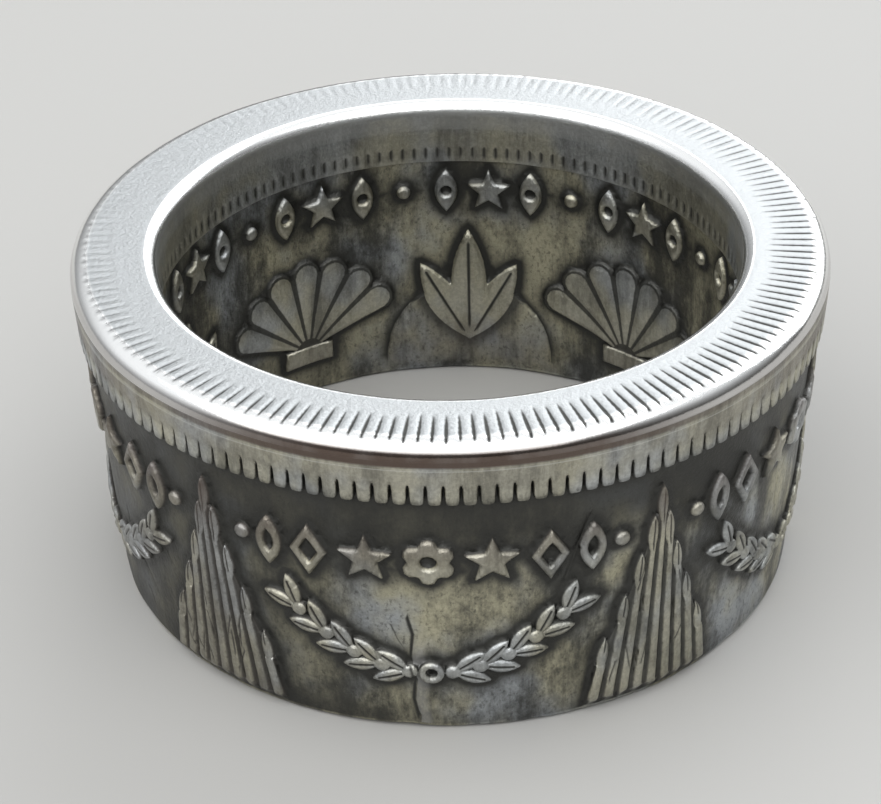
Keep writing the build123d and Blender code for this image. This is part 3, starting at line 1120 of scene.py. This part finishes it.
def silver_colour(nodes, cloud, mark):
    """The metal's colour, and how much of its rubbed surface shows."""
    raised = mark["raised"]
    land = mark["land"]
    halo = nodes.math("POWER", exp(-1 / halo_width), mark["away"])
    halo = nodes.times(halo, nodes.remap(raised, 0.60, 0.95, 1.0, 0.0))
    crevice = nodes.larger(halo, mark["grooved"])
    stain = nodes.total((cloud["streaks"], 0.6), start=cloud["blotches"])
    stain = nodes.larger(nodes.remap(stain, 0.60, 1.05, 0.35, 1.0), land)
    rubbed = nodes.times(nodes.remap(raised, 0.30, 0.95), stain)
    top_tone = nodes.mix(nodes.remap(cloud["tint"], 0.40, 0.54), rubbed_cool, rubbed_silver)
    top_tone = nodes.mix(land, top_tone, matte_silver)
    colour = nodes.mix(rubbed, field_colour(nodes, cloud, mark["tarnish"], crevice), top_tone)
    clean = nodes.remap(cloud["specks"], 0.30, 0.48, 0.50, 1.0)
    clean = nodes.times(clean, nodes.remap(cloud["grain"], 0.36, 0.62, 0.80, 1.0))
    clean = nodes.larger(clean, nodes.remap(raised, 0.5, 1.0, 0.0, 0.80))
    clean = nodes.larger(clean, nodes.times(land, 0.93))
    colour = nodes.mix(clean, oxide, colour)
    colour = nodes.mix(nodes.remap(mark["polish"], 0.25, 0.9), colour, polished)
    colour = nodes.mix(nodes.remap(nodes.times(crevice, raised), 0.10, 0.85), colour, oxide)
    # Painted shade and the painted dark reflection, in brown, on raised parts and bands.
    shade_share = nodes.times(mark["tarnish"], nodes.remap(cloud["blotches"], 0.38, 0.60, 0.94, 1.0))
    return nodes.mix(nodes.times(shade_share, raised), colour, brown), rubbed


def silver_bump(nodes, cloud, mark):
    """Small dents and scuffs, softer where the metal is polished."""
    dent_weight = nodes.remap(mark["land"], 0.3, 1.0, 1.2, 0.6)
    terms = [(cloud["streaks"], 0.4), (cloud["mottle"], 0.8), (cloud["dents"], dent_weight)]
    strength = nodes.remap(mark["polish"], 0.2, 1.0, 0.8, 0.12)
    strength = nodes.times(strength, nodes.remap(mark["land"], 0.3, 1.0, 1.0, 0.75))
    bump = nodes.node("ShaderNodeBump")
    nodes.put(bump.inputs["Distance"], bump_depth * MM)
    nodes.put(bump.inputs["Strength"], strength)
    nodes.put(bump.inputs["Height"], nodes.total(*terms, start=cloud["grain"]))
    return bump.outputs[0]


def silver_material():
    """Coin silver: bright where it is rubbed, brown-grey in the fields, black in the corners, with
    painted shade and painted reflections in its colour.
    """
    nodes = Nodes(bpy.data.materials.new("coin_silver"))
    mark = {name: nodes.attribute(name) for name in mark_names}
    cloud = {name: nodes.noise(**settings) for name, settings in clouds.items()}
    colour, rubbed = silver_colour(nodes, cloud, mark)
    unrubbed = nodes.math("SUBTRACT", 1.0, rubbed)
    rough = nodes.total((cloud["grain"], 0.20), (unrubbed, 0.12), (mark["land"], 0.10), start=0.22)
    rough = nodes.times(rough, nodes.remap(mark["polish"], 0.3, 1.0, 1.0, 0.38))
    nodes.put(nodes.surface("Base Color"), colour)
    nodes.put(nodes.surface("Roughness"), rough)
    nodes.put(nodes.surface("Metallic"), 1.0)
    nodes.put(nodes.surface("Normal"), silver_bump(nodes, cloud, mark))
    return nodes.owner


# Stage, lights and camera

def floor():
    reach = 1500 * MM
    corners = [(-reach, -reach, 0), (reach, -reach, 0), (reach, reach, 0), (-reach, reach, 0)]
    mesh = bpy.data.meshes.new("floor")
    mesh.from_pydata(corners, [], [(0, 1, 2, 3)])
    made = bpy.data.objects.new("floor", mesh)
    bpy.context.collection.objects.link(made)
    nodes = Nodes(bpy.data.materials.new("floor"))
    nodes.put(nodes.surface("Base Color"), (0.37, 0.365, 0.352, 1))
    nodes.put(nodes.surface("Roughness"), 0.75)
    mesh.materials.append(nodes.owner)


def area_light(name, place, size, power, colour=(1, 1, 1)):
    """A soft rectangular light, placed in millimetres and aimed at the ring's middle."""
    light = bpy.data.lights.new(name, "AREA")
    light.shape = "RECTANGLE"
    light.size = size[0] * MM
    light.size_y = size[1] * MM
    light.energy = power
    light.color = colour
    made = bpy.data.objects.new(name, light)
    made.location = Vector(place) * MM
    aim = Vector((0, 0, height / 2)) * MM - made.location
    made.rotation_euler = aim.to_track_quat("-Z", "Y").to_euler()
    bpy.context.collection.objects.link(made)


def world():
    """A soft room, dark low down and bright overhead, whose light comes lower on the left."""
    nodes = Nodes(bpy.data.worlds.new("room"))
    split = nodes.node("ShaderNodeSeparateXYZ")
    nodes.put(split.inputs[0], nodes.node("ShaderNodeTexCoord").outputs["Generated"])
    left = nodes.math("MINIMUM", split.outputs["X"], 0.0)
    climb = nodes.math("MULTIPLY_ADD", left, -0.40, split.outputs["Z"])
    ramp = nodes.node("ShaderNodeValToRGB")
    ramp.color_ramp.elements.new(0.5)
    stops = [
        (0.02, (0.09, 0.09, 0.085, 1)),
        (0.45, (0.42, 0.43, 0.44, 1)),
        (0.80, (0.96, 0.98, 1.0, 1)),
    ]
    for element, (position, colour) in zip(ramp.color_ramp.elements, stops):
        element.position = position
        element.color = colour
    nodes.put(ramp.inputs[0], climb)
    nodes.put(nodes.tree.nodes["Background"].inputs[0], ramp.outputs[0])
    bpy.context.scene.world = nodes.owner


def camera():
    """The photograph's view: a fit to the rim's two ellipses, the foot and the bore."""
    photo_width = 881
    focal_pixels = 3000
    distance = 107.3
    above = radians(29.28)
    roll = radians(1.13)
    yaw = radians(-0.23)
    pitch = radians(3.38)
    aim_height = 12.9
    place = Vector((0, -distance * cos(above), aim_height + distance * sin(above)))
    forward = Vector((0, cos(above), -sin(above)))
    right = Vector((1, 0, 0))
    up = right.cross(forward)
    to_camera = Matrix((right, up, -forward))
    to_camera = Matrix.Rotation(yaw, 3, "Y") @ to_camera
    to_camera = Matrix.Rotation(pitch, 3, "X") @ to_camera
    to_camera = Matrix.Rotation(roll, 3, "Z") @ to_camera
    lens = bpy.data.cameras.new("camera")
    lens.sensor_fit = "HORIZONTAL"
    lens.sensor_width = 36
    lens.lens = focal_pixels / photo_width * lens.sensor_width
    lens.clip_start = 0.002
    made = bpy.data.objects.new("camera", lens)
    made.matrix_world = Matrix.Translation(place * MM) @ to_camera.transposed().to_4x4()
    bpy.context.collection.objects.link(made)
    bpy.context.scene.camera = made


ring = ring_object()
ring.data.materials.append(silver_material())
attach(ring, "root")
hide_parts(NODE)

floor()
world()
area_light("window", (225, 340, 250), (600, 400), 1.65, (0.96, 0.98, 1.0))
area_light("sky", (-60, -220, 400), (1000, 720), 3.7)
camera()
bpy.context.scene.view_settings.view_transform = "Standard"
